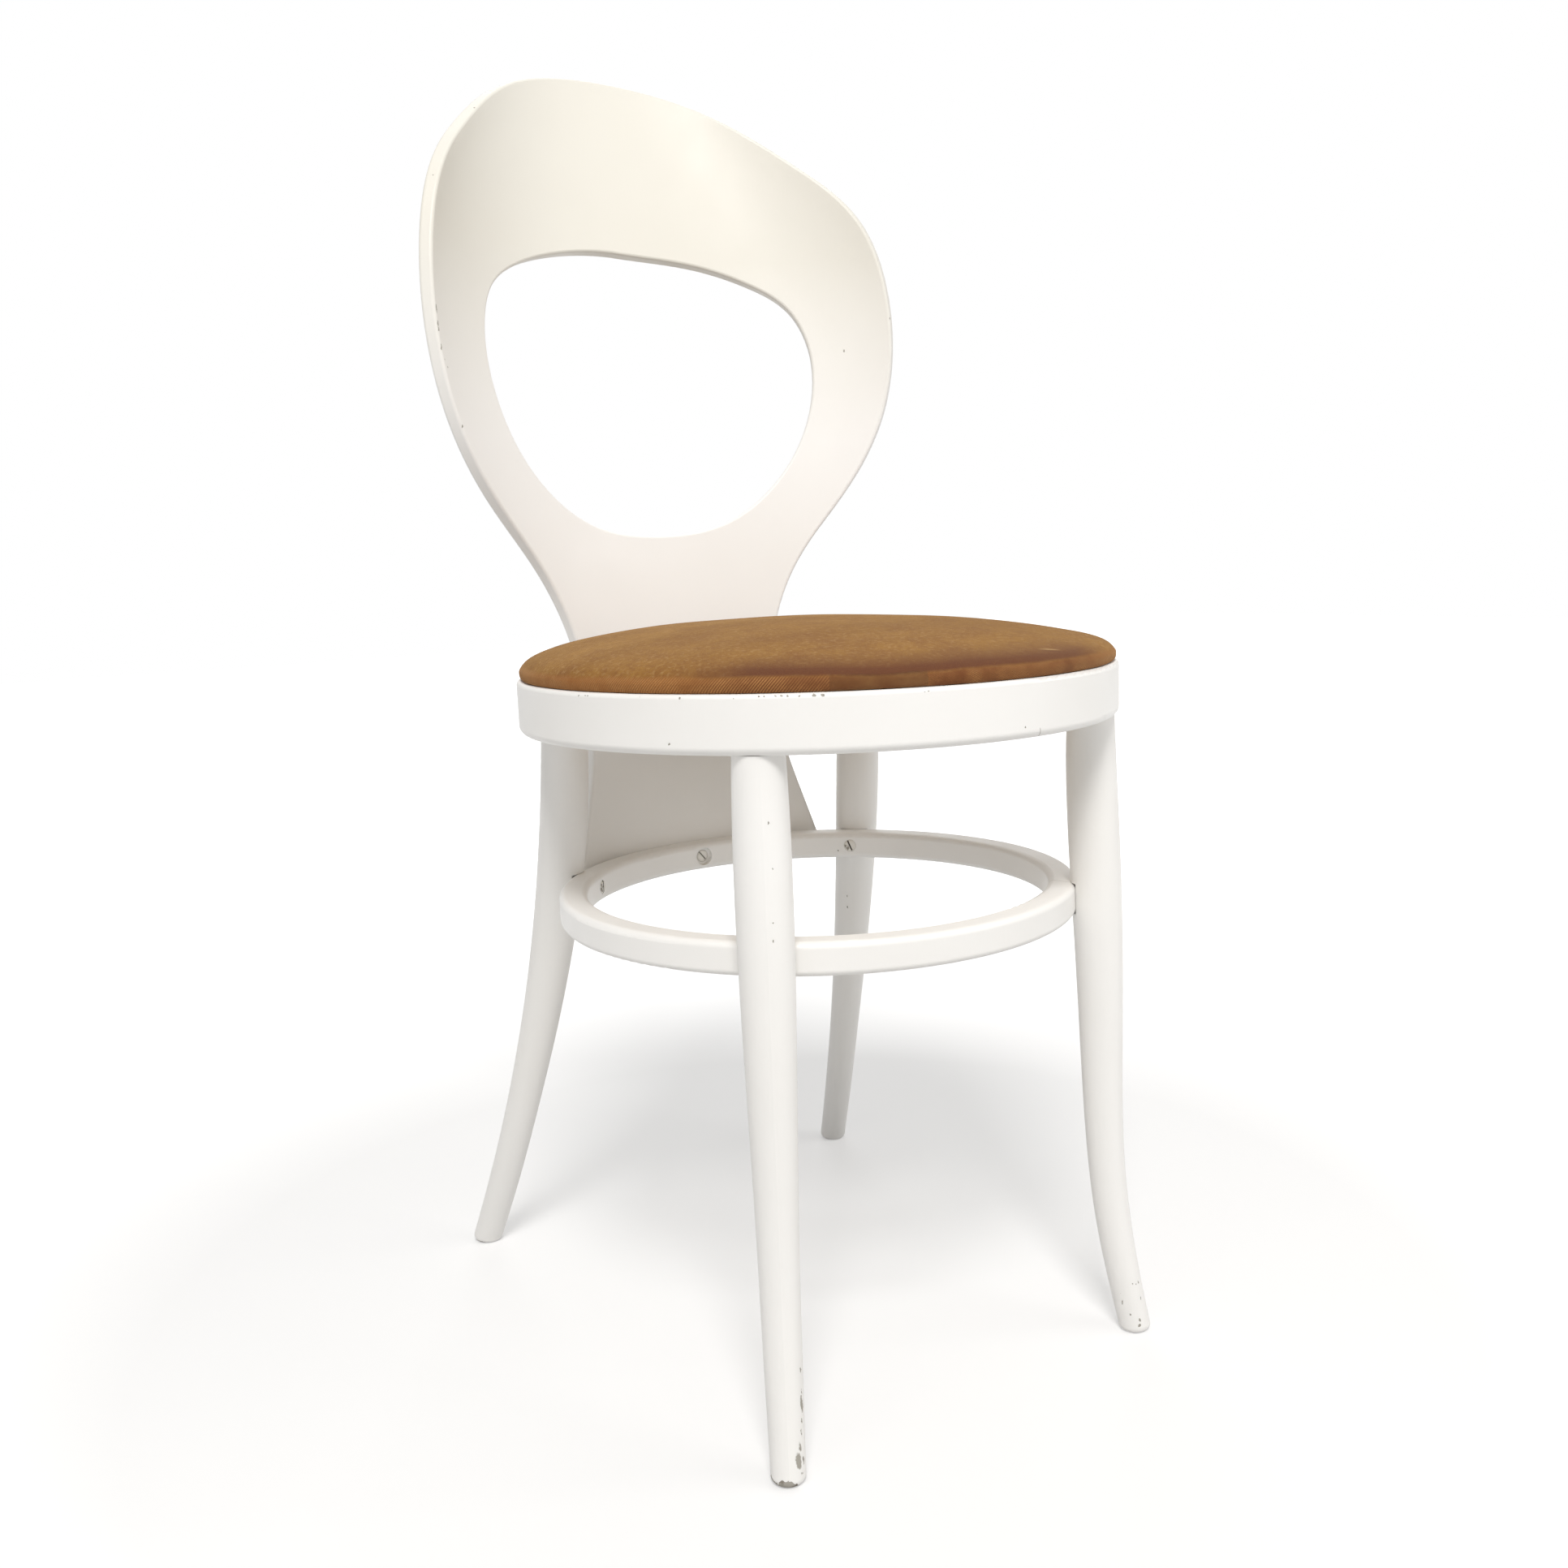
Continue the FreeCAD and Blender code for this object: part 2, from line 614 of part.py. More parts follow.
staple_bite.Reversed = True
bind(staple_bite, "Length", "staple_wire")
staple_turns = staples.newObject("PartDesign::PolarPattern", "staple_turns")
staple_turns.Originals = [staple_pad, staple_bite]
staple_turns.Axis = ([axis for axis in staples.Origin.OriginFeatures if axis.Role == "Z_Axis"][0], [""])
staple_turns.Angle = 360
bind(staple_turns, "Occurrences", "staple_count")
staples.Tip = staple_turns

board = cylinder("board_blank", "pad_radius - cover_thickness - soft_gap", "board_thickness", 0, 0,
                 size("ring_low + ring_height + cover_thickness"))
seat_board = cut("seat_board", board, [staples] + seat_screw_holes)

foam_whole = dome("foam_form", "cover_thickness", "cover_thickness + soft_gap")
board_space = cylinder("board_space", "pad_radius", "board_thickness", 0, 0,
                       size("ring_low + ring_height + cover_thickness"))
seat_foam = cut("seat_foam", foam_whole, [board_space])

cover_outer = dome("cover_outer", "0", "0")
doc.recompute()
cover_rounded = doc.addObject("Part::Fillet", "cover_rounded")
cover_rounded.Base = cover_outer
low_round = size("pad_low_arris")
cover_rounded.Edges = [(i, low_round, low_round) for i, edge in enumerate(cover_outer.Shape.Edges, start=1)
                       if is_level(edge, size("ring_low + ring_height"))]
cover_inner = dome("cover_inner", "cover_thickness", "cover_thickness")
cover_mouth = cylinder("cover_mouth", "cover_turn_radius", "cover_thickness + 2 * soft_gap", 0, 0,
                       size("ring_low + ring_height - soft_gap"))
seat_cover = cut("seat_cover", cover_rounded, [cover_inner, cover_mouth, staples] + seat_screw_holes)

nodes = [back_shell, seat_ring, stretcher_hoop] + legs_made + [
    seat_board, seat_foam, seat_cover, staples,
    hoop_leg_screws, hoop_shell_screw, ring_shell_screws, seat_screw_group,
]

doc.recompute()
for thing in doc.Objects:
    if {"Invalid", "Error"} & set(thing.State):
        raise RuntimeError(f"{thing.Label} failed: {thing.State}")
for node in nodes:
    if node.Shape.isNull() or not node.Shape.isValid():
        raise RuntimeError(f"{node.Label} has no sound shape")
for node in nodes:
    node.Shape.exportStep(f"parts/{node.Label}.step")
    box = node.Shape.BoundBox
    print(f"{node.Label}: {len(node.Shape.Solids)} solids, {node.Shape.Volume / 1000:.1f} cm3,"
          f" y {box.YMin:.1f} to {box.YMax:.1f}, z {box.ZMin:.1f} to {box.ZMax:.1f}")
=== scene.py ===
from math import atan2, cos, pi, radians, sin

import bmesh
import bpy
from mathutils import Matrix, Vector, noise


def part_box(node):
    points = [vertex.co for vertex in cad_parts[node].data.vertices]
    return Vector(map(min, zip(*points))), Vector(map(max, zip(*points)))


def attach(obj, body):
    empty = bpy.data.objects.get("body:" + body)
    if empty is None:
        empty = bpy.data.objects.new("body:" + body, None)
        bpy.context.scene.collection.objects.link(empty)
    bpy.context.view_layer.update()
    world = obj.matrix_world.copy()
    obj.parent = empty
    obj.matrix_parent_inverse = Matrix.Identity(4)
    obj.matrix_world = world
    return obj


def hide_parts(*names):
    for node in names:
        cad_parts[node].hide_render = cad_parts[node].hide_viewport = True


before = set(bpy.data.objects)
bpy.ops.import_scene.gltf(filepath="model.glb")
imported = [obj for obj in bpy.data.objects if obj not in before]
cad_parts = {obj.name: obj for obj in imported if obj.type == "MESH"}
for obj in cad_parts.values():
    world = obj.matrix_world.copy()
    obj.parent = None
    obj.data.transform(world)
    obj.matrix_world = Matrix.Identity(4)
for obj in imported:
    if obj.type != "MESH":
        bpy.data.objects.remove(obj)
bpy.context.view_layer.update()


# The camera stands low in front of the left front leg, a little above the seat, and looks slightly down.
# It is close, so the near leg looks long. It is held slightly tilted, as it was when the picture was taken.
ring_low, ring_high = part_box("seat_ring")
seat_axis = Vector(((ring_low.x + ring_high.x) / 2, (ring_low.y + ring_high.y) / 2, 0))
camera_place = seat_axis + Vector((-0.5267, -0.7795, 0.5097))
camera_azimuth = radians(-32.6)
camera_height_angle = radians(8.8)
camera_tilt = radians(-2.1)
sensor_width = 36.0
lens_length = 33.2
nearest_seen = 0.05

backwards = Vector((
    sin(camera_azimuth) * cos(camera_height_angle),
    -cos(camera_azimuth) * cos(camera_height_angle),
    sin(camera_height_angle),
))
level_right = (-backwards).cross(Vector((0, 0, 1))).normalized()
level_up = level_right.cross(-backwards)
right = level_right * cos(camera_tilt) + level_up * sin(camera_tilt)
up = level_up * cos(camera_tilt) - level_right * sin(camera_tilt)

lens = bpy.data.cameras.new("camera")
lens.sensor_fit = "HORIZONTAL"
lens.sensor_width = sensor_width
lens.lens = lens_length
lens.clip_start = nearest_seen
camera = bpy.data.objects.new("camera", lens)
camera.matrix_world = Matrix.Translation(camera_place) @ Matrix((right, up, backwards)).transposed().to_4x4()
bpy.context.scene.collection.objects.link(camera)
bpy.context.scene.camera = camera


# The room is a plain pale studio. One soft lamp hangs high in front of the chair, on the side of the camera,
# so that the seat shades the back legs and what is under it. Three weak wide ones fill in round the chair.
room_light = 0.42
room_white = (1.0, 0.985, 0.96, 1)
warm_white = (1.0, 0.985, 0.965)
cool_white = (0.97, 0.985, 1.0)
bpy.context.scene.view_settings.view_transform = "Standard"


def put(tree, kind, inputs=(), **settings):
    """Adds a node to a tree. An input is given as a plain value, or as the output that feeds it."""
    made = tree.nodes.new("ShaderNode" + kind)
    for name, value in settings.items():
        setattr(made, name, value)
    for name, value in dict(inputs).items():
        if isinstance(value, bpy.types.NodeSocket):
            tree.links.new(value, made.inputs[name])
        else:
            made.inputs[name].default_value = value
    return made


def seen_directly(tree):
    """One where the camera, a mirror or a glass looks straight at the surface, and nought for its light."""
    path = put(tree, "LightPath").outputs
    seen = put(tree, "Math", {0: path["Is Camera Ray"], 1: path["Is Glossy Ray"]}, operation="MAXIMUM")
    return put(tree, "Math", {0: seen.outputs[0], 1: path["Is Transmission Ray"]},
               operation="MAXIMUM").outputs[0]


world = bpy.data.worlds.new("studio")
bpy.context.scene.world = world
world.use_nodes = True
air = world.node_tree
air.nodes.clear()
white = put(air, "Background", {"Color": (1, 1, 1, 1), "Strength": 1.0})
soft = put(air, "Background", {"Color": room_white, "Strength": room_light})
either = put(air, "MixShader", {0: seen_directly(air), 1: soft.outputs[0], 2: white.outputs[0]})
put(air, "OutputWorld", {"Surface": either.outputs[0]})

lamps = [
    # name, direction round from the front, height angle, distance, width, power and colour
    ("high_lamp", -32, 50, 3.6, 1.0, 85, warm_white),
    ("right_lamp", 45, 25, 3.6, 2.2, 28, warm_white),
    ("left_lamp", -65, 20, 3.6, 2.2, 9, warm_white),
    ("back_lamp", 150, 40, 3.4, 1.6, 12, cool_white),
]
lit_height = 0.45
lit_point = seat_axis + Vector((0, 0, lit_height))
for name, turn, lift, distance, width, power, colour in lamps:
    turn, lift = radians(turn), radians(lift)
    towards = Vector((sin(turn) * cos(lift), -cos(turn) * cos(lift), sin(lift)))
    bulb = bpy.data.lights.new(name, "AREA")
    bulb.size = width
    bulb.energy = power
    bulb.color = colour
    hung = bpy.data.objects.new(name, bulb)
    hung.location = lit_point + towards * distance
    hung.rotation_euler = towards.to_track_quat("Z", "Y").to_euler()
    bpy.context.scene.collection.objects.link(hung)


# The floor is one wide sheet of matt white board. Near the chair it carries the shadows of the feet, and
# further off it glows when it is looked at, so that it goes over into the white of the room with no edge.
floor_half = 8.0
shadows_within = 0.45
white_beyond = 1.3
glow_near_chair = 0.36
floor_white = (0.62, 0.62, 0.62, 1)
floor_roughness = 0.9


def mesh_piece(name, corners, faces, smooth=True):
    """Makes a mesh object from corner points and faces, each face a list of corner numbers."""
    mesh = bpy.data.meshes.new(name)
    mesh.from_pydata([tuple(corner) for corner in corners], [], faces)
    shaped = bmesh.new()
    shaped.from_mesh(mesh)
    bmesh.ops.recalc_face_normals(shaped, faces=shaped.faces)
    shaped.to_mesh(mesh)
    shaped.free()
    for face in mesh.polygons:
        face.use_smooth = smooth
    piece = bpy.data.objects.new(name, mesh)
    bpy.context.scene.collection.objects.link(piece)
    return piece


def new_material(name):
    """A new material with its node tree and the tree's main shader."""
    material = bpy.data.materials.new(name)
    material.use_nodes = True
    return material, material.node_tree, material.node_tree.nodes["Principled BSDF"]


floor_corners = [(x * floor_half, y * floor_half, 0) for x, y in ((-1, -1), (1, -1), (1, 1), (-1, 1))]
floor = mesh_piece("floor", floor_corners, [(0, 1, 2, 3)], smooth=False)
board, tree, shader = new_material("white board")
shader.inputs["Base Color"].default_value = floor_white
shader.inputs["Roughness"].default_value = floor_roughness
shader.inputs["Specular IOR Level"].default_value = 0.0
where = put(tree, "TexCoord").outputs["Object"]
away = put(tree, "VectorMath", {0: where}, operation="LENGTH").outputs["Value"]
far_off = put(tree, "MapRange", {"Value": away, "From Min": shadows_within, "From Max": white_beyond,
                                 "To Min": glow_near_chair, "To Max": 1.0}).outputs[0]
seen = seen_directly(tree)
strength = put(tree, "Math", {0: far_off, 1: seen}, operation="MULTIPLY").outputs[0]
glow = put(tree, "Emission", {"Color": (1, 1, 1, 1), "Strength": strength})
both = put(tree, "AddShader", {0: shader.outputs[0], 1: glow.outputs[0]})
tree.links.new(both.outputs[0], tree.nodes["Material Output"].inputs["Surface"])
floor.data.materials.append(board)


# The back is one sheet of beech veneers, moulded on two bends, with its outline and opening cut afterwards
# and every edge rounded. It is brushed warm white, and the paint is chipped to the grey primer on its arris.
paint_light = (0.92, 0.91, 0.89, 1)
paint_dull = (0.885, 0.872, 0.845, 1)
cream_light = (0.80, 0.778, 0.71, 1)
cream_dull = (0.775, 0.75, 0.68, 1)
yellowed_above = 0.60
yellowed_blend = 0.14
primer = (0.39, 0.368, 0.325, 1)
bare_beech = (0.15, 0.12, 0.088, 1)
paint_shine = 0.4
arris_width = 0.0016
torn_reach = 0.0018
chip_middle = 0.75
crack_edge = (0.00042, 0.00012)
crack_middle = 0.7
brush_mark_depth = 0.00012
paint_depth = 0.0004
# How fine each kind of mark is, how it is drawn out, and the levels between which it fades in
torn_fineness = 700.0
arris_levels = (0.985, 0.93)
nick_fineness = 38.0
nick_levels = (0.672, 0.69)
flake_fineness = 95.0
flake_stretch = (1, 1, 0.45)
flake_levels = (0.30, 0.62)
worn_levels = (0.50, 0.53)
tint_fineness = 5.0
tint_levels = (0.35, 0.65)
bare_fineness = 160.0
bare_levels = (0.52, 0.68)
polish_fineness = 30.0
polish_levels = (0.3, 0.7)
polish_roughness = (0.36, 0.5)
chip_roughness = 0.35
brush_fineness = 420.0
brush_stretch = (1, 1, 0.12)
shell_chips = [
    # place of each chip from the seat's axis in metres, its radius, and how many times taller than wide it is
    (-0.1824, 0.1544, 0.6785, 0.0007, 5.0), (-0.1824, 0.1538, 0.6690, 0.0007, 4.0),
    (-0.1822, 0.1536, 0.6655, 0.0008, 2.0), (-0.1812, 0.1535, 0.6545, 0.0007, 4.0),
    (-0.1790, 0.1545, 0.6470, 0.0005, 2.0), (-0.1770, 0.1560, 0.6421, 0.0005, 2.0),
    (-0.1209, 0.2210, 0.8267, 0.0008, 1.0), (-0.1723, 0.1721, 0.7658, 0.0006, 1.0),
    (-0.1690, 0.1579, 0.6047, 0.0006, 2.0), (0.1561, 0.1776, 0.6703, 0.0007, 2.0),
    (0.1848, 0.1546, 0.6929, 0.0006, 1.5),
]


def mapped(tree, value, low, high, to_low=0.0, to_high=1.0):
    """Spreads a value from low..high to to_low..to_high and stops it at both ends."""
    span = {"Value": value, "From Min": low, "From Max": high, "To Min": to_low, "To Max": to_high}
    return put(tree, "MapRange", span).outputs[0]


def mixed(tree, share, first, second):
    """A colour between two colours."""
    blend = put(tree, "Mix", data_type="RGBA")
    for socket, value in zip((blend.inputs[0], blend.inputs[6], blend.inputs[7]), (share, first, second)):
        if isinstance(value, bpy.types.NodeSocket):
            tree.links.new(value, socket)
        else:
            socket.default_value = value
    return blend.outputs[2]


def higher(tree, first, second):
    """The higher of two values."""
    return put(tree, "Math", {0: first, 1: second}, operation="MAXIMUM").outputs[0]


def times(tree, first, second):
    """The product of two values."""
    return put(tree, "Math", {0: first, 1: second}, operation="MULTIPLY").outputs[0]


def grain(tree, where, scale, detail=2.0, stretch=None):
    """Cloudy noise, finer with a larger scale, and drawn out along the axes where stretch is small."""
    if stretch:
        where = put(tree, "Mapping", {"Vector": where, "Scale": stretch}).outputs[0]
    return put(tree, "TexNoise", {"Vector": where, "Scale": scale, "Detail": detail}).outputs[0]


def ragged(tree, where, scale, reach):
    """The place on the surface, pushed about a little, so that what is drawn from it has a torn outline."""
    cloud = put(tree, "TexNoise", {"Vector": where, "Scale": scale, "Detail": 3.0}).outputs["Color"]
    centred = put(tree, "VectorMath", {0: cloud, 1: (0.5, 0.5, 0.5)}, operation="SUBTRACT").outputs[0]
    pushed = put(tree, "VectorMath", {0: centred, "Scale": reach}, operation="SCALE").outputs[0]
    return put(tree, "VectorMath", {0: where, 1: pushed}, operation="ADD").outputs[0]


def painted(name, chips=(), cracks=(), worn_foot=0.0, yellowed=False):
    """Warm white paint on beech: chips and cracks in the given places, nicked edges and a worn foot.

    Yellowed paint turns cream above the height where hands and backs have rubbed it.
    """
    material, tree, shader = new_material(name)
    where = put(tree, "TexCoord").outputs["Object"]
    torn = ragged(tree, where, torn_fineness, torn_reach)

    rounded = put(tree, "Bevel", {"Radius": arris_width}, samples=6).outputs[0]
    flat = put(tree, "NewGeometry").outputs["Normal"]
    alike = put(tree, "VectorMath", {0: rounded, 1: flat}, operation="DOT_PRODUCT").outputs["Value"]
    on_arris = mapped(tree, alike, *arris_levels)
    rare = mapped(tree, grain(tree, where, nick_fineness, 4.0), *nick_levels)
    bare = times(tree, on_arris, rare)
    for x, y, z, radius, tall in chips:
        place = seat_axis + Vector((x, y, z))
        from_chip = put(tree, "VectorMath", {0: torn, 1: place}, operation="SUBTRACT").outputs[0]
        squat = put(tree, "VectorMath", {0: from_chip, 1: (1, 1, 1 / tall)}, operation="MULTIPLY").outputs[0]
        away = put(tree, "VectorMath", {0: squat}, operation="LENGTH").outputs["Value"]
        bare = higher(tree, bare, mapped(tree, away, radius, radius * chip_middle))
    height = put(tree, "SeparateXYZ", {0: where}).outputs["Z"]
    if worn_foot:
        low_down = mapped(tree, height, worn_foot, 0.0)
        flakes = mapped(tree, grain(tree, where, flake_fineness, 5.0, flake_stretch), *flake_levels)
        worn = mapped(tree, times(tree, low_down, flakes), *worn_levels)
        bare = higher(tree, bare, worn)

    tint = mapped(tree, grain(tree, where, tint_fineness, 3.0), *tint_levels)
    coat = mixed(tree, tint, paint_dull, paint_light)
    if yellowed:
        cream = mixed(tree, tint, cream_dull, cream_light)
        coat = mixed(tree, mapped(tree, height, yellowed_above, yellowed_above + yellowed_blend), coat, cream)
    wood_shows = mapped(tree, grain(tree, where, bare_fineness, 4.0), *bare_levels)
    under = mixed(tree, wood_shows, primer, bare_beech)
    colour = mixed(tree, bare, coat, under)
    for x, y, z, across, reach, depth in cracks:
        place = seat_axis + Vector((x, y, z))
        from_crack = put(tree, "VectorMath", {0: where, 1: place}, operation="SUBTRACT").outputs[0]
        off = put(tree, "VectorMath", {0: from_crack, 1: across}, operation="DOT_PRODUCT").outputs["Value"]
        off = put(tree, "Math", {0: off}, operation="ABSOLUTE").outputs[0]
        line = mapped(tree, off, *crack_edge)
        along = put(tree, "VectorMath", {0: from_crack}, operation="LENGTH").outputs["Value"]
        line = times(tree, line, mapped(tree, along, reach, reach * crack_middle))
        colour = mixed(tree, times(tree, line, depth), colour, primer)
    tree.links.new(colour, shader.inputs["Base Color"])

    polish = mapped(tree, grain(tree, where, polish_fineness, 3.0), *polish_levels, *polish_roughness)
    rough = put(tree, "Math", {0: times(tree, bare, chip_roughness), 1: polish}, operation="ADD").outputs[0]
    tree.links.new(rough, shader.inputs["Roughness"])
    shader.inputs["Specular IOR Level"].default_value = paint_shine

    brushed = grain(tree, where, brush_fineness, 2.0, brush_stretch)
    skin = put(tree, "Bump", {"Height": brushed, "Strength": 0.25, "Distance": brush_mark_depth}).outputs[0]
    chipped = put(tree, "Bump", {"Height": bare, "Strength": 0.7, "Distance": paint_depth, "Normal": skin},
                  invert=True).outputs[0]
    tree.links.new(chipped, shader.inputs["Normal"])
    return material


def give(node, material):
    """Puts a material on a CAD node that keeps its own shape."""
    bpy.data.objects[node].material_slots[0].material = material


give("back_shell", painted("paint on the shell", shell_chips, yellowed=True))


# The seat ring is one length of solid beech, steamed, bent round and joined by a long scarf. Four leg
# sockets are bored in its lower face. Its top and bottom arrises carry the marks of many years of use.
ring_chips = [
    (-0.1876, -0.0401, 0.4391, 0.0007, 0.7), (-0.1862, -0.0455, 0.4393, 0.0006, 0.7),
    (-0.1856, -0.0475, 0.4394, 0.0007, 0.7), (-0.1722, -0.0843, 0.4396, 0.0005, 1.0),
    (-0.1597, -0.1058, 0.4392, 0.0007, 1.1), (-0.1405, -0.1300, 0.4390, 0.0004, 1.0),
    (-0.1309, -0.1394, 0.4399, 0.0006, 0.8), (-0.1291, -0.1414, 0.4399, 0.0005, 0.8),
    (-0.1246, -0.1455, 0.4400, 0.0008, 0.6), (-0.1222, -0.1474, 0.4400, 0.0008, 0.6),
    (-0.1196, -0.1496, 0.4400, 0.0007, 0.6), (-0.1148, -0.1534, 0.4395, 0.0006, 1.2),
    (-0.1086, -0.1577, 0.4398, 0.0010, 0.9), (-0.1048, -0.1604, 0.4397, 0.0011, 0.9),
    (-0.0557, -0.1835, 0.4388, 0.0006, 0.6), (-0.0536, -0.1843, 0.4388, 0.0006, 0.6),
    (-0.1641, -0.0996, 0.4145, 0.0008, 1.0), (0.0067, -0.1918, 0.4149, 0.0006, 1.0),
]
ring_cracks = [
    # its place, the direction across it, how far it reaches and how dark it is
    (0.0189, -0.1901, 0.4101, (1.0, 0.1, 0.25), 0.004, 0.9),
]
give("seat_ring", painted("paint on the ring", ring_chips, ring_cracks))


# The lower hoop is bent from a thinner length of beech, let into the four legs and into the back. Its ends
# meet in a butt joint at the right front leg, where the paint has cracked. A pin hole is left inside it.
hoop_chips = [(0.0985, 0.1236, 0.2861, 0.0007, 1.0)]
hoop_cracks = [(0.1088, -0.1105, 0.2995, (0.957, 0.290, 0.0), 0.016, 0.8)]
give("stretcher_hoop", painted("paint on the hoop", hoop_chips, hoop_cracks))


# The four legs are steamed, bent and turned beech, thickest at the hoop and thinnest at the floor. Each has
# a round tenon in the ring. The paint on the front feet is knocked off down to the primer and the bare wood.
leg_chips = {
    "front_leg_left": [
        (-0.1254, -0.1473, 0.0622, 0.0008, 2.0), (-0.1271, -0.1500, 0.0440, 0.0015, 4.0),
        (-0.1262, -0.1492, 0.0505, 0.0008, 3.0), (-0.1286, -0.1518, 0.0350, 0.0007, 3.0),
        (-0.1300, -0.1535, 0.0290, 0.0010, 3.0), (-0.1322, -0.1552, 0.0225, 0.0013, 3.0),
        (-0.1345, -0.1563, 0.0150, 0.0022, 2.6), (-0.1312, -0.1540, 0.0130, 0.0015, 2.6),
        (-0.1335, -0.1550, 0.0070, 0.0022, 1.2), (-0.1435, -0.1549, 0.0030, 0.0018, 1.0),
        (-0.1402, -0.1560, 0.0030, 0.0020, 0.8), (-0.1440, -0.1520, 0.0400, 0.0005, 1.0),
        (-0.1278, -0.1392, 0.3723, 0.0005, 2.0), (-0.1286, -0.1414, 0.3181, 0.0004, 2.0),
        (-0.1291, -0.1415, 0.3084, 0.0005, 1.5), (-0.1268, -0.1406, 0.3469, 0.0004, 3.0),
    ],
    "front_leg_right": [
        (0.1304, -0.1525, 0.0345, 0.0006, 1.6), (0.1353, -0.1528, 0.0342, 0.0007, 1.8),
        (0.1332, -0.1527, 0.0335, 0.0005, 1.0), (0.1356, -0.1546, 0.0241, 0.0006, 3.0),
        (0.1250, -0.1483, 0.0214, 0.0006, 3.0), (0.1240, -0.1476, 0.0270, 0.0005, 1.5),
        (0.1278, -0.1528, 0.0139, 0.0006, 1.5), (0.1328, -0.1560, 0.0100, 0.0008, 1.6),
        (0.1321, -0.1566, 0.0065, 0.0011, 1.0), (0.1345, -0.1560, 0.0070, 0.0008, 1.2),
    ],
    "rear_leg_left": [],
    "rear_leg_right": [(0.1192, 0.1431, 0.2427, 0.0004, 6.0), (0.1205, 0.1453, 0.2334, 0.0004, 6.0)],
}
foot_wear = {"front_leg_left": 0.012, "front_leg_right": 0.006,
             "rear_leg_left": 0.004, "rear_leg_right": 0.004}
for leg, chips in leg_chips.items():
    give(leg, painted("paint on the " + leg.replace("_", " "), chips, worn_foot=foot_wear[leg]))


# Slotted steel screws hold the hoop to the legs and to the back from inside it. They were painted over with
# the chair, and their slots and rims are darkened with painted shade. The screws of the ring and the seat and
# the staples of the cover are bare steel, and show only from below.
screw_paint = (0.80, 0.775, 0.72, 1)
dull_steel = (0.30, 0.285, 0.26, 1)
rusty_steel = (0.19, 0.15, 0.11, 1)
# Painted shade: the colour of the slots and rims, where the light does not reach.
slot_painted_shade = (0.075, 0.06, 0.045, 1)
bare_shine = 0.8
shade_reach = 0.003
shade_levels = (0.92, 0.70)
patch_fineness = 240.0
patch_edge = 0.04
rust_fineness = 900.0
rust_levels = (0.4, 0.7)
scratch_fineness = 1600.0
scratch_depth = 0.0001


def steel(name, painted_share, slot_shade):
    """Dull steel with what is left of a coat of paint, and painted shade in the slot and round the rim.

    The noise that places the paint rarely passes 0.7, so that a share of 0.74 covers all of the head.
    """
    material, tree, shader = new_material(name)
    where = put(tree, "TexCoord").outputs["Object"]
    patches = grain(tree, where, patch_fineness, 4.0)
    kept = mapped(tree, patches, painted_share - patch_edge, painted_share, 1.0, 0.0)
    rust = mapped(tree, grain(tree, where, rust_fineness, 3.0), *rust_levels)
    spots = mixed(tree, rust, dull_steel, rusty_steel)
    faced = mixed(tree, kept, spots, screw_paint)
    # Painted shade in the slot and round the rim, where the head hides them from the light.
    open_share = put(tree, "AmbientOcclusion", {"Distance": shade_reach}, samples=8).outputs["AO"]
    painted_slot_shade = mapped(tree, open_share, *shade_levels, 0.0, slot_shade)
    tree.links.new(mixed(tree, painted_slot_shade, faced, slot_painted_shade), shader.inputs["Base Color"])
    unpainted = mapped(tree, kept, 0.0, 1.0, bare_shine, 0.0)
    bright = times(tree, unpainted, mapped(tree, painted_slot_shade, 0.0, 1.0, 1.0, 0.0))
    tree.links.new(bright, shader.inputs["Metallic"])
    tree.links.new(mapped(tree, patches, 0.3, 0.7, 0.35, 0.6), shader.inputs["Roughness"])
    scratches = grain(tree, where, scratch_fineness, 2.0)
    scratched = put(tree, "Bump", {"Height": scratches, "Strength": 0.3,
                                   "Distance": scratch_depth}).outputs[0]
    tree.links.new(scratched, shader.inputs["Normal"])
    return material


overpainted = steel("screw steel under paint", 0.62, slot_shade=1.0)
filled_in = steel("screw steel under thick paint", 0.74, slot_shade=0.4)
bare_steel = steel("bare screw steel", 0.0, slot_shade=0.8)
give("hoop_leg_screws", overpainted)
give("hoop_shell_screw", filled_in)
for hidden in ("ring_shell_screws", "seat_screws", "cover_staples"):
    give(hidden, bare_steel)


# The seat board is a disc of bare plywood that carries the foam. It shows only from below, inside the ring,
# where the velvet is turned under it and stapled.
brown_veneer = (0.62, 0.45, 0.27, 1)
pale_veneer = (0.74, 0.58, 0.38, 1)
pore_brown = (0.40, 0.26, 0.14, 1)
figure_fineness = 26.0
figure_stretch = (0.16, 1, 1)
figure_levels = (0.35, 0.65)
pore_fineness = 420.0
pore_stretch = (0.05, 1, 1)
pore_levels = (0.60, 0.72)
pore_share = 0.5
pore_depth = 0.0002
board_roughness = 0.75
board_face, tree, shader = new_material("bare plywood")
where = put(tree, "TexCoord").outputs["Object"]
figure = grain(tree, where, figure_fineness, 5.0, figure_stretch)
pores = grain(tree, where, pore_fineness, 3.0, pore_stretch)
wood = mixed(tree, mapped(tree, figure, *figure_levels), brown_veneer, pale_veneer)
wood = mixed(tree, mapped(tree, pores, *pore_levels, 0.0, pore_share), wood, pore_brown)
tree.links.new(wood, shader.inputs["Base Color"])
shader.inputs["Roughness"].default_value = board_roughness
sanded = put(tree, "Bump", {"Height": pores, "Strength": 0.4, "Distance": pore_depth}).outputs[0]
tree.links.new(sanded, shader.inputs["Normal"])
give("seat_board", board_face)


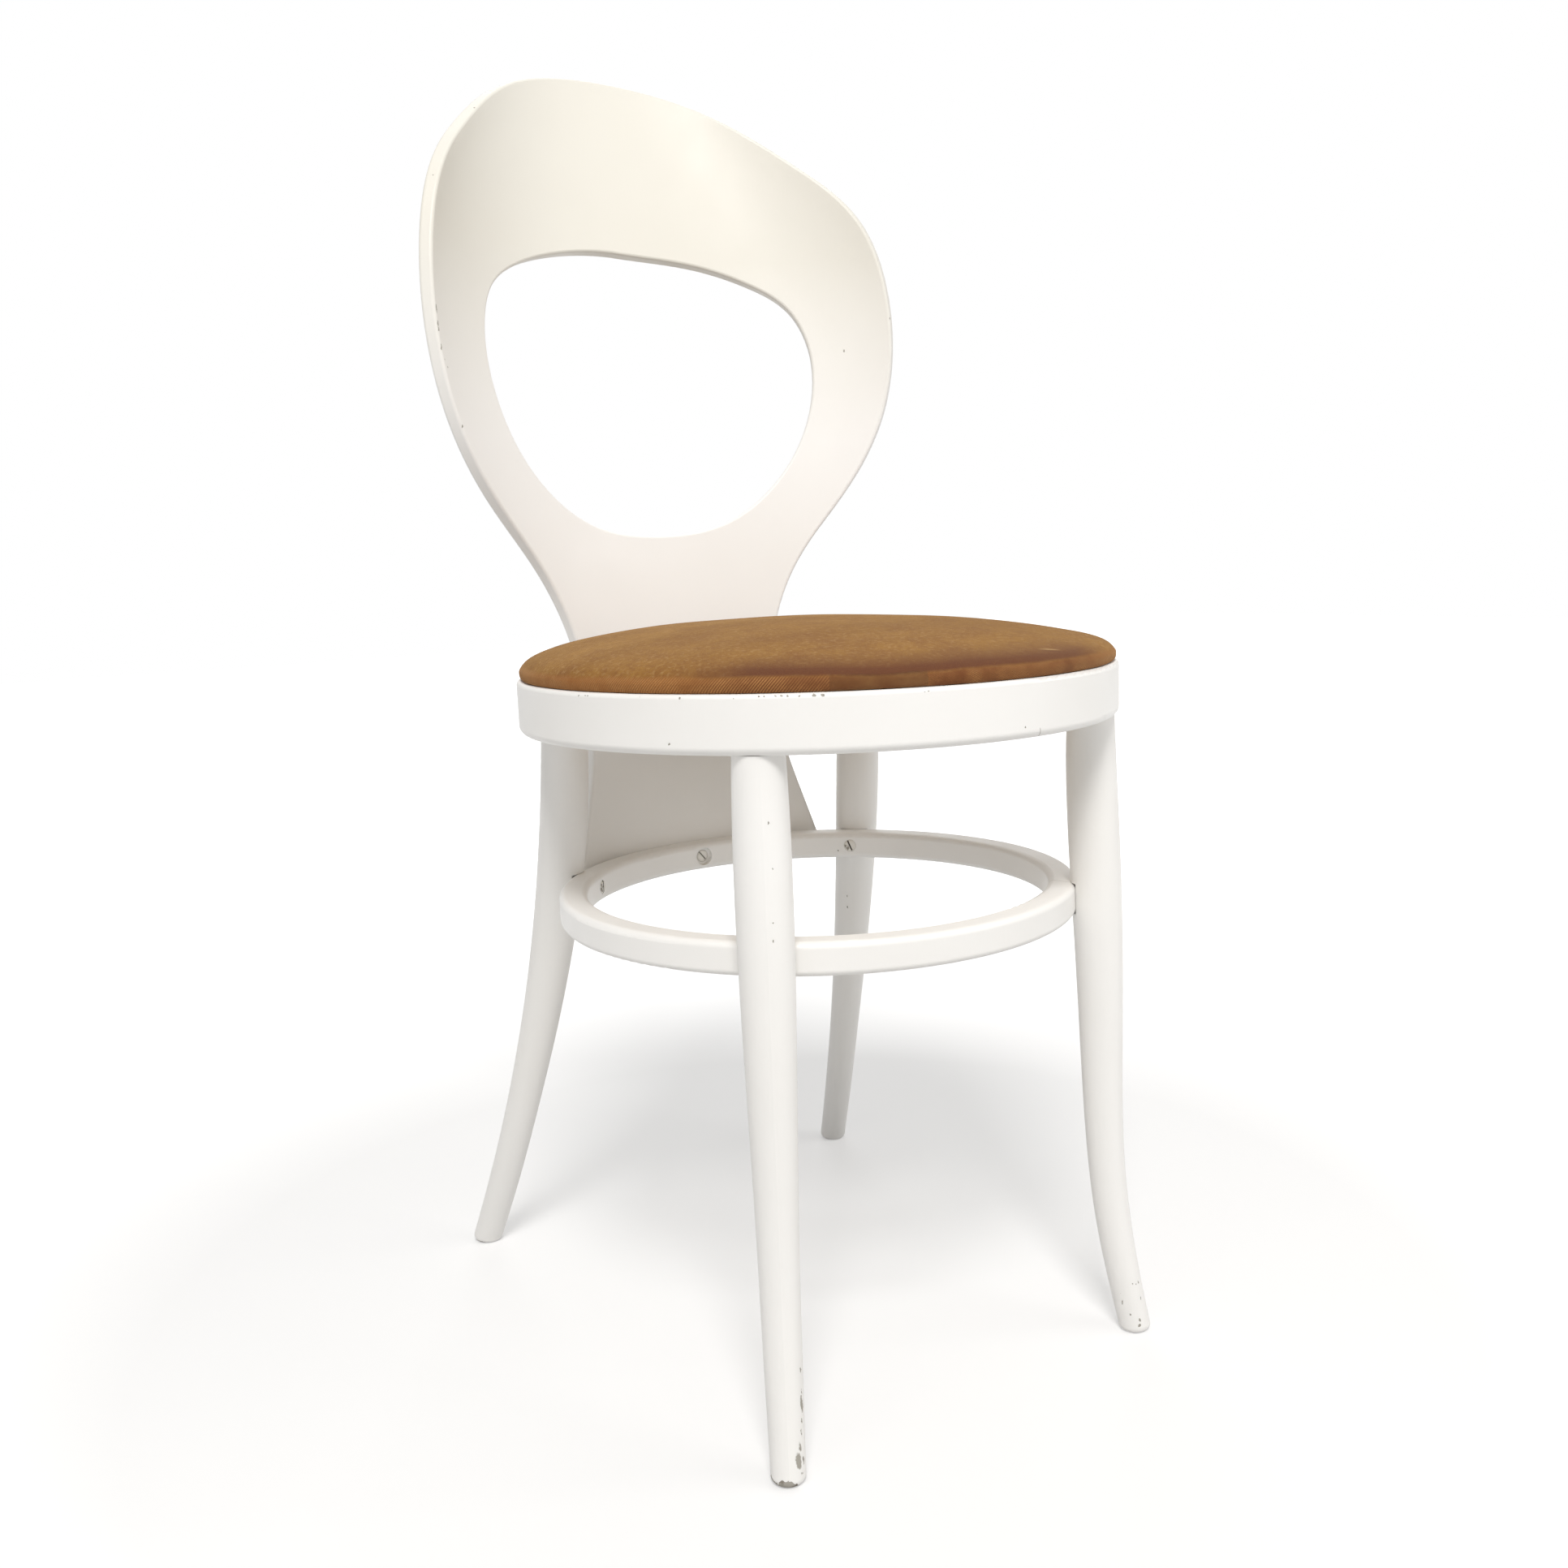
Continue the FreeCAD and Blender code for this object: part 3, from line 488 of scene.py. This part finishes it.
# The foam is a cut disc with a domed top, glued on the board. It is pale yellow and open-celled. The velvet
# presses it down a little and hides all of it.
foam_low, foam_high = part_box("seat_foam")
seat_middle = (foam_low + foam_high) / 2
foam_radius = (foam_high.x - foam_low.x) / 2
pressed_down = 0.0030
pressed_in = 0.0008
round_steps = 192
dome_steps = 40
cell_shade = (0.62, 0.52, 0.30, 1)
foam_yellow = (0.86, 0.78, 0.55, 1)
cell_fineness = 700.0
cell_depth = 0.0008
foam_roughness = 0.95


def turned(name, outline):
    """Turns an outline of (radius, height) points about the seat's middle."""
    corners = []
    for step in range(round_steps):
        angle = 2 * pi * step / round_steps
        for radius, height in outline:
            corners.append((seat_middle.x + radius * cos(angle), seat_middle.y + radius * sin(angle), height))
    row = len(outline)
    faces = []
    for step in range(round_steps):
        here = step * row
        following = (step + 1) % round_steps * row
        for place in range(row - 1):
            faces.append((here + place, here + place + 1, following + place + 1, following + place))
    piece = mesh_piece(name, corners, faces)
    joined = bmesh.new()
    joined.from_mesh(piece.data)
    bmesh.ops.remove_doubles(joined, verts=joined.verts, dist=1e-6)
    bmesh.ops.recalc_face_normals(joined, faces=joined.faces)
    joined.to_mesh(piece.data)
    joined.free()
    return piece


def dome(radius, foot, crown, points):
    """The outline of a flat elliptic dome, from its rim at the foot up to its crown."""
    return [(radius * cos(pi / 2 * step / points), foot + (crown - foot) * sin(pi / 2 * step / points))
            for step in range(points + 1)]


foam_dome = dome(foam_radius - pressed_in, foam_low.z, foam_high.z - pressed_down, dome_steps)
foam = turned("foam_disc", [(0.0, foam_low.z)] + foam_dome)
foam_body, tree, shader = new_material("open cell foam")
where = put(tree, "TexCoord").outputs["Object"]
cells = put(tree, "TexVoronoi", {"Vector": where, "Scale": cell_fineness}).outputs["Distance"]
tree.links.new(mixed(tree, cells, cell_shade, foam_yellow), shader.inputs["Base Color"])
pitted = put(tree, "Bump", {"Height": cells, "Strength": 0.8, "Distance": cell_depth}).outputs[0]
tree.links.new(pitted, shader.inputs["Normal"])
shader.inputs["Roughness"].default_value = foam_roughness
foam.data.materials.append(foam_body)
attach(foam, "root")
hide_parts("seat_foam")


# The cover is ochre cotton velvet, stretched over the foam and turned under the board. Its ribs show at
# the rim, which is coloured dark and red with painted shade, and its top is coloured paler with painted sheen
# and is rubbed smooth.
cover_low, cover_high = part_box("seat_cover")
cover_radius = (cover_high.x - cover_low.x) / 2
rim_height = foam_low.z
rim_arris = 0.003
hem_radius = 0.145
velvet_thickness = 0.0012
staple_count = 20
swell_frames = 20
swell_pressure = 4.0
farthest_swell = 0.0014
held_margin = 1.01
rows_on_top = 30
rows_in_dome = 72
fuller_side = Vector((-0.842, 0.539, 0))
fuller_by = 0.0016
lump_fineness = 16
lump_height = 0.0008
even_rim = 0.03
staple_pull = 0.00035
pull_height = 0.006


def evenly(outline, count):
    """Points at even distances along an outline of (radius, height) points."""
    lengths = [0.0]
    for (radius, height), (next_radius, next_height) in zip(outline, outline[1:]):
        lengths.append(lengths[-1] + Vector((next_radius - radius, next_height - height)).length)
    points = []
    for step in range(count + 1):
        wanted = lengths[-1] * step / count
        found = max(place for place in range(len(outline) - 1) if lengths[place] <= wanted)
        share = (wanted - lengths[found]) / (lengths[found + 1] - lengths[found])
        points.append(Vector(outline[found]).lerp(Vector(outline[found + 1]), min(share, 1.0)))
    return points


def laid_over(rows):
    """Lays a square net over the seat, with no pole at its middle. Its square rows become circles.

    The first of the (radius, height) rows is the middle and the last one is the hem.
    """
    last = len(rows) - 1
    corners = []
    for across in range(-last, last + 1):
        for along in range(-last, last + 1):
            row = max(abs(across), abs(along))
            if row == 0:
                angle = 0.0
            elif abs(along) == row:
                angle = (pi / 2 - pi / 4 * across / row) if along > 0 else (-pi / 2 + pi / 4 * across / row)
            else:
                angle = (pi / 4 * along / row) if across > 0 else (pi - pi / 4 * along / row)
            radius, height = rows[row]
            corners.append(Vector((seat_middle.x + radius * cos(angle), seat_middle.y + radius * sin(angle),
                                   height)))
    width = 2 * last + 1
    faces = [(place, place + 1, place + width + 1, place + width)
             for place in range(width * (width - 1)) if (place + 1) % width]
    return corners, faces


def pulled(point):
    """Moves a point of the cover as hand-stretched velvet lies: uneven foam, and pulls at the staples."""
    out = Vector((point.x - seat_middle.x, point.y - seat_middle.y, 0))
    radius = out.length
    lump = noise.noise(Vector((point.x * lump_fineness, point.y * lump_fineness, 0.3)))
    inside = min(1.0, max(0.0, (cover_radius - radius) / even_rim))
    if point.z > rim_height:
        fuller = fuller_by * out.dot(fuller_side) / cover_radius
        point.z += (lump_height * lump + fuller) * inside
    near_hem = max(0.0, 1 - abs(point.z - cover_low.z - rim_arris) / pull_height)
    angle = atan2(out.y, out.x)
    return point - out.normalized() * staple_pull * near_hem * (1 + cos(staple_count * angle))


def swollen(piece, held_corners):
    """Lets a piece swell as cloth with air under it, held at the given corners, and keeps the shape.

    The foam stops it: no point sinks in, and the highest one rises by farthest_swell.
    """
    start = [corner.co.copy() for corner in piece.data.vertices]
    outwards = [corner.normal.copy() for corner in piece.data.vertices]
    held = piece.vertex_groups.new(name="held")
    held.add(held_corners, 1.0, "REPLACE")
    cloth = piece.modifiers.new("swell", "CLOTH")
    cloth.settings.use_pressure = True
    cloth.settings.uniform_pressure_force = swell_pressure
    cloth.settings.vertex_group_mass = held.name
    cloth.settings.effector_weights.gravity = 0.0
    cloth.collision_settings.use_collision = False
    cloth.point_cache.frame_start = 1
    cloth.point_cache.frame_end = swell_frames
    for step in range(1, swell_frames + 1):
        bpy.context.scene.frame_set(step)
    blown = piece.evaluated_get(bpy.context.evaluated_depsgraph_get())
    rises = [(corner.co - before).dot(out)
             for corner, before, out in zip(blown.data.vertices, start, outwards)]
    piece.modifiers.remove(cloth)
    share = farthest_swell / max(rises)
    for corner, before, out, rise in zip(piece.data.vertices, start, outwards, rises):
        corner.co = before + out * max(0.0, rise * share)
    bpy.context.scene.frame_set(1)


from_crown = dome(cover_radius, rim_height, cover_high.z - farthest_swell, rows_in_dome)[::-1]
over_top = evenly(from_crown, rows_on_top)
down_side = [(cover_radius, rim_height - (rim_height - cover_low.z - rim_arris) * step / 2)
             for step in (1, 2)]
turn_under = [(cover_radius - rim_arris * (1 - cos(pi / 2 * step / 3)),
               cover_low.z + rim_arris * (1 - sin(pi / 2 * step / 3))) for step in (1, 2, 3)]
hem = [(cover_radius - rim_arris + (hem_radius - cover_radius + rim_arris) * step / 4, cover_low.z)
       for step in (1, 2, 3, 4)]
corners, faces = laid_over(over_top + down_side + turn_under + hem)
cover = mesh_piece("velvet_cover", [pulled(corner) for corner in corners], faces)
held_below = cover_low.z + rim_arris * held_margin
swollen(cover, [corner.index for corner in cover.data.vertices if corner.co.z < held_below])
finer = cover.modifiers.new("finer", "SUBSURF")
finer.levels = 1
finer.render_levels = 1
thick = cover.modifiers.new("thickness", "SOLIDIFY")
thick.thickness = velvet_thickness
thick.offset = -1.0

# Painted sheen: the top of the pad is coloured paler than its rim.
velvet_top_painted_sheen = (0.262, 0.126, 0.030, 1)
velvet_rubbed = (0.345, 0.180, 0.048, 1)
# Painted light and shade: the dark colour stands for shade on the rim at the front and the lit colour for
# light at its sides. The dark colour also marks the nap and the pile.
velvet_dark_pile_and_shaded_rim = (0.165, 0.060, 0.022, 1)
velvet_lit_rim = (0.290, 0.118, 0.034, 1)
velvet_rib = (0.42, 0.20, 0.070, 1)
# Painted shade: the dark of the stripe on the rim and under the fold.
velvet_painted_shade = (0.125, 0.047, 0.026, 1)
# The pale colour is the velvet's own for the nap marks and the fluff, and a painted highlight on the fold's
# lip.
velvet_pale_and_painted_highlight = (0.62, 0.42, 0.20, 1)
velvet_sheen = (0.85, 0.6, 0.32, 1)
velvet_roughness = 0.92
# Heights over the rim between which the ribs end, the stripe begins and ends, and the top begins
ribs_end = (0.0035, 0.0015)
stripe_begins = (0.0015, 0.0030)
stripe_ends = (0.0125, 0.0055)
top_begins = (0.0008, 0.0035)
# How fine the pile, its tips and its sway are, and the levels between which they show
sway_reach = 0.0010
sway_fineness = 14.0
sway_levels = (0.3, 0.7)
pile_fineness = 1500.0
pile_levels = (0.45, 0.75)
pile_share = 0.35
pile_depth = 0.0005
tip_fineness = 2300.0
tip_levels = (0.66, 0.74)
tip_share = 0.32

velvet, tree, shader = new_material("ochre velvet")
where = put(tree, "TexCoord").outputs["Object"]
middle = put(tree, "VectorMath", {0: where, 1: tuple(seat_middle)}, operation="SUBTRACT").outputs[0]
parts = put(tree, "SeparateXYZ", {0: middle}).outputs
height = put(tree, "SeparateXYZ", {0: where}).outputs["Z"]
sway = mapped(tree, grain(tree, where, sway_fineness, 3.0), *sway_levels, -sway_reach, sway_reach)
swayed = put(tree, "Math", {0: height, 1: sway}, operation="ADD").outputs[0]
round_angle = put(tree, "Math", {0: parts["Y"], 1: parts["X"]}, operation="ARCTAN2").outputs[0]
fibres = grain(tree, where, pile_fineness, 3.0)


def over_rim(start, full):
    """Fades in from one height over the rim to another, along a line that sways as the rim does."""
    return mapped(tree, swayed, rim_height + start, rim_height + full)


def between(value, begins, ends):
    """Fades in over the first pair of levels and out over the second."""
    return times(tree, mapped(tree, value, *begins), mapped(tree, value, *ends))


# Ribs of the pile on the side of the pad. They lean one way on the left and lie over the other way further
# right, because the velvet was pulled askew when it was stapled.
lean_turns = (radians(-122), radians(-106))
lean_slopes = (-0.85, 2.2)
rib_fineness = 185.0
rib_depth = 0.0004
bald_fineness = 45.0
bald_levels = (0.36, 0.6)
round_way = times(tree, round_angle, cover_radius)
leaning = times(tree, mapped(tree, round_angle, *lean_turns, *lean_slopes), height)
slant = put(tree, "Math", {0: round_way, 1: leaning}, operation="ADD").outputs[0]
ribs_at = put(tree, "CombineXYZ", {0: slant}).outputs[0]
ribs = put(tree, "TexWave", {"Vector": ribs_at, "Scale": rib_fineness, "Distortion": 1.5, "Detail": 2.0,
                             "Detail Scale": 2.0}).outputs["Fac"]
patchy = mapped(tree, grain(tree, where, bald_fineness, 3.0), *bald_levels)
low_down = over_rim(*ribs_end)
rib_share = times(tree, times(tree, ribs, patchy), low_down)

# A soft dark stripe of painted shade above the ribs. It is full at the front, fades
# out to both sides and comes again at the back.
stripe_middle = radians(-103)
stripe_levels = (-0.05, 0.45)
stripe_share = 0.95
twice_round = put(tree, "Math", {0: round_angle, 1: 2.0, 2: -2 * stripe_middle},
                  operation="MULTIPLY_ADD").outputs[0]
facing = put(tree, "Math", {0: twice_round}, operation="COSINE").outputs[0]
stripe_here = mapped(tree, facing, *stripe_levels)
# Painted light and shade on the rim: lit at the sides, shaded at the front.
side_colour = mixed(tree, stripe_here, velvet_lit_rim, velvet_dark_pile_and_shaded_rim)
side_colour = mixed(tree, rib_share, side_colour, velvet_rib)
stripe = times(tree, times(tree, over_rim(*stripe_begins), over_rim(*stripe_ends)), stripe_here)

# The top is rubbed in long cloudy streaks, with fine dark and pale marks where the nap lies this way or that.
streak_fineness = 11.0
streak_stretch = (0.35, 1.6, 1)
streak_levels = (0.38, 0.64)
nap_marks = [
    # how fine the marks are, where they start and are full, how strong they are, and their colour
    (38.0, 0.48, 0.70, 0.40, velvet_dark_pile_and_shaded_rim),
    (110.0, 0.44, 0.72, 0.35, velvet_dark_pile_and_shaded_rim),
    (420.0, 0.45, 0.70, 0.40, velvet_dark_pile_and_shaded_rim),
    (380.0, 0.52, 0.72, 0.26, velvet_pale_and_painted_highlight),
]
streaks = grain(tree, where, streak_fineness, 4.0, streak_stretch)
top_colour = mixed(tree, mapped(tree, streaks, *streak_levels), velvet_top_painted_sheen, velvet_rubbed)
for fineness, first, full, share, shade in nap_marks:
    marked = mapped(tree, grain(tree, where, fineness, 4.0), first, full, 0.0, share)
    top_colour = mixed(tree, marked, top_colour, shade)
# Painted sheen: the top is coloured paler than the side.
colour = mixed(tree, over_rim(*top_begins), side_colour, top_colour)
# Painted shade: the dark stripe above the ribs.
colour = mixed(tree, times(tree, stripe, stripe_share), colour, velvet_painted_shade)
colour = mixed(tree, mapped(tree, fibres, *pile_levels, 0.0, pile_share), colour, velvet_dark_pile_and_shaded_rim)
tips = mapped(tree, grain(tree, where, tip_fineness, 1.0), *tip_levels, 0.0, tip_share)
colour = mixed(tree, tips, colour, velvet_rubbed)

# A short pinched fold near the right front, drawn only as painted shade below and a painted highlight on its
# lip, and two caught specks of fluff.
fold_middle = seat_axis + Vector((0.0405, -0.1788, 0.4540))
across_fold = (0.10, 0.05, 0.99)
fold_ends = (0.0095, 0.0045)
dark_begins = (-0.0012, -0.0002)
dark_ends = (0.0004, 0.0)
lip_begins = (0.0003, 0.0007)
lip_ends = (0.0015, 0.0009)
dark_share = 0.7
lip_share = 0.45
fluff = [(-0.0558, -0.1536, 0.4605), (-0.0228, -0.1861, 0.4516)]
fluff_edge = (0.0012, 0.0006)
fluff_share = 0.7
from_fold = put(tree, "VectorMath", {0: where, 1: fold_middle}, operation="SUBTRACT").outputs[0]
fold_reach = put(tree, "VectorMath", {0: from_fold}, operation="LENGTH").outputs["Value"]
fold_height = put(tree, "VectorMath", {0: from_fold, 1: across_fold},
                  operation="DOT_PRODUCT").outputs["Value"]
near_fold = mapped(tree, fold_reach, *fold_ends)
fold_painted_shade = times(tree, between(fold_height, dark_begins, dark_ends), near_fold)
fold_painted_highlight = times(tree, between(fold_height, lip_begins, lip_ends), near_fold)
# Painted shade under the fold and a painted highlight on its lip.
colour = mixed(tree, times(tree, fold_painted_shade, dark_share), colour, velvet_painted_shade)
colour = mixed(tree, times(tree, fold_painted_highlight, lip_share), colour, velvet_pale_and_painted_highlight)
for place in fluff:
    speck = seat_axis + Vector(place)
    away = put(tree, "VectorMath", {0: where, 1: speck}, operation="DISTANCE").outputs["Value"]
    colour = mixed(tree, mapped(tree, away, *fluff_edge, 0.0, fluff_share), colour, velvet_pale_and_painted_highlight)
tree.links.new(colour, shader.inputs["Base Color"])
shader.inputs["Roughness"].default_value = velvet_roughness
shader.inputs["Specular IOR Level"].default_value = 0.15
shader.inputs["Sheen Weight"].default_value = 0.35
shader.inputs["Sheen Roughness"].default_value = 0.4
shader.inputs["Sheen Tint"].default_value = velvet_sheen
pile = put(tree, "Bump", {"Height": fibres, "Strength": 0.6, "Distance": pile_depth}).outputs[0]
ribbed = put(tree, "Bump", {"Height": rib_share, "Strength": 0.6, "Distance": rib_depth, "Normal": pile})
tree.links.new(ribbed.outputs[0], shader.inputs["Normal"])
cover.data.materials.append(velvet)
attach(cover, "root")
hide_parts("seat_cover")
